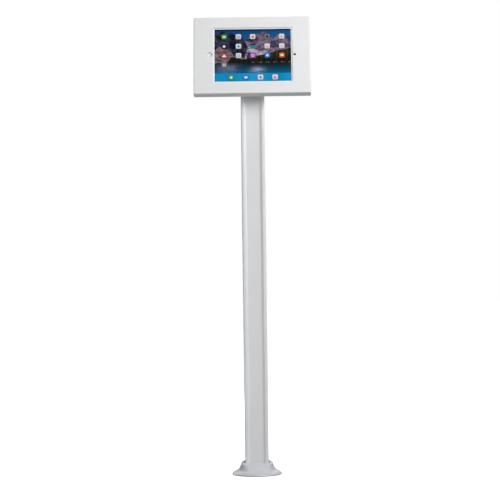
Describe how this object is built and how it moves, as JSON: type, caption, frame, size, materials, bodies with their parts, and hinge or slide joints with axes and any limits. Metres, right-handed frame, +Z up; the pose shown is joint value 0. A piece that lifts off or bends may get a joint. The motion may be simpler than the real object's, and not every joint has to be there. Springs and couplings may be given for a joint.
{
  "type": "customer pole display",
  "caption": "Floor-fixed pole with a tilting, turning lockable enclosure that shows customers a landscape tablet screen.",
  "frame": {"origin": "centre of the base plate's underside, on the floor and on the post's axis", "axes": "+Z up along the post, the screen faces -Y, +X to the right of someone who looks at the screen"},
  "size_m": [0.3, 0.1284, 1.1812],
  "materials": {
    "white_powder_coat": "satin white powder coat",
    "white_extrusion": "satin white powder coat on extruded aluminium",
    "skirt_plastic": "pale grey moulded plastic",
    "white_plastic": "satin white extruded plastic",
    "zinc_steel": "zinc plated",
    "hinge_steel": "rolled steel",
    "spring_steel": "oiled spring steel",
    "rivet_aluminium": "mill",
    "lock_chrome": "polished",
    "nylon": "natural nylon",
    "fibre_washer": "pressed fibre",
    "black_rubber": "matt",
    "foam": "closed-cell foam",
    "tablet_aluminium": "bead-blasted, anodised",
    "tablet_white_glass": "white-backed glass",
    "button_white": "satin white",
    "display": "lit screen under gloss glass",
    "lens_glass": "black glass",
    "battery_wrap": "foil pouch",
    "circuit_board": "solder mask"
  },
  "bodies": {
    "base": {"base_plate": "zinc_steel", "post_foot_screws": "zinc_steel", "post": "white_extrusion", "cable_cover": "white_plastic", "head_yoke": "white_powder_coat", "head_screws": "zinc_steel", "cable_grommet": "black_rubber"},
    "skirt": {"base_skirt": "skirt_plastic"},
    "tilt_head": {"tilt_bracket": "white_powder_coat", "tilt_bolt": "zinc_steel", "tilt_nut": "zinc_steel", "tilt_washers": "zinc_steel", "friction_washers": "fibre_washer"},
    "enclosure": {"swivel_hub": "zinc_steel", "hub_screws": "zinc_steel", "front_swivel_washer": "nylon", "rear_swivel_washer": "nylon", "swivel_spring": "spring_steel", "swivel_nut": "zinc_steel", "swivel_stop_pin": "zinc_steel", "back_tray": "white_powder_coat", "back_hinge_leaf": "hinge_steel", "hinge_pin": "hinge_steel", "hinge_rivets": "rivet_aluminium", "lock_barrel": "lock_chrome", "lock_nut": "lock_chrome", "tablet_body": "tablet_aluminium", "tablet_bezel": "tablet_white_glass", "display_panel": "display", "camera_lens": "lens_glass", "tablet_battery": "battery_wrap", "logic_board": "circuit_board", "foam_pads": "foam", "edge_pads": "foam"},
    "cover": {"front_cover": "white_powder_coat", "cover_hinge_leaf": "hinge_steel", "latch_tab": "zinc_steel"},
    "lock": {"lock_plug": "lock_chrome", "lock_cam": "zinc_steel", "cam_screw": "zinc_steel"},
    "home_button": {"home_button": "button_white"},
    "power_key": {"power_key": "tablet_aluminium"},
    "volume_up_key": {"volume_up_key": "tablet_aluminium"},
    "volume_down_key": {"volume_down_key": "tablet_aluminium"}
  },
  "joints": [
    {"name": "skirt_lift", "type": "slide", "parent": "base", "child": "skirt", "axis": [0, 0, 1], "range_m": [0, 0.85]},
    {"name": "head_tilt", "type": "hinge", "parent": "base", "child": "tilt_head", "pos_m": [0, 0, 1.008], "axis": [-1, 0, 0], "range_deg": [-17.5, 40]},
    {"name": "head_rotate", "type": "hinge", "parent": "tilt_head", "child": "enclosure", "pos_m": [0, -0.01247, 1.07254], "axis": [0, -0.9537, 0.3007], "range_deg": [0, 90]},
    {"name": "cover_hinge", "type": "hinge", "parent": "enclosure", "child": "cover", "pos_m": [-0.147, -0.01533, 1.07344], "axis": [0, -0.3007, -0.9537], "range_deg": [0, 90]},
    {"name": "lock_turn", "type": "hinge", "parent": "enclosure", "child": "lock", "pos_m": [0.134, -0.01247, 1.07254], "axis": [0, 0.9537, -0.3007], "range_deg": [0, 90]},
    {"name": "home_button_press", "type": "slide", "parent": "enclosure", "child": "home_button", "axis": [0, 0.9537, -0.3007], "range_m": [0, 0.0004], "stiffness_N_per_m": 3000, "springref_m": -0.0002},
    {"name": "power_key_press", "type": "slide", "parent": "enclosure", "child": "power_key", "axis": [-1, 0, 0], "range_m": [0, 0.0004], "stiffness_N_per_m": 3000, "springref_m": -0.0002},
    {"name": "volume_up_press", "type": "slide", "parent": "enclosure", "child": "volume_up_key", "axis": [0, 0.3007, 0.9537], "range_m": [0, 0.0004], "stiffness_N_per_m": 3000, "springref_m": -0.0002},
    {"name": "volume_down_press", "type": "slide", "parent": "enclosure", "child": "volume_down_key", "axis": [0, 0.3007, 0.9537], "range_m": [0, 0.0004], "stiffness_N_per_m": 3000, "springref_m": -0.0002}
  ]
}
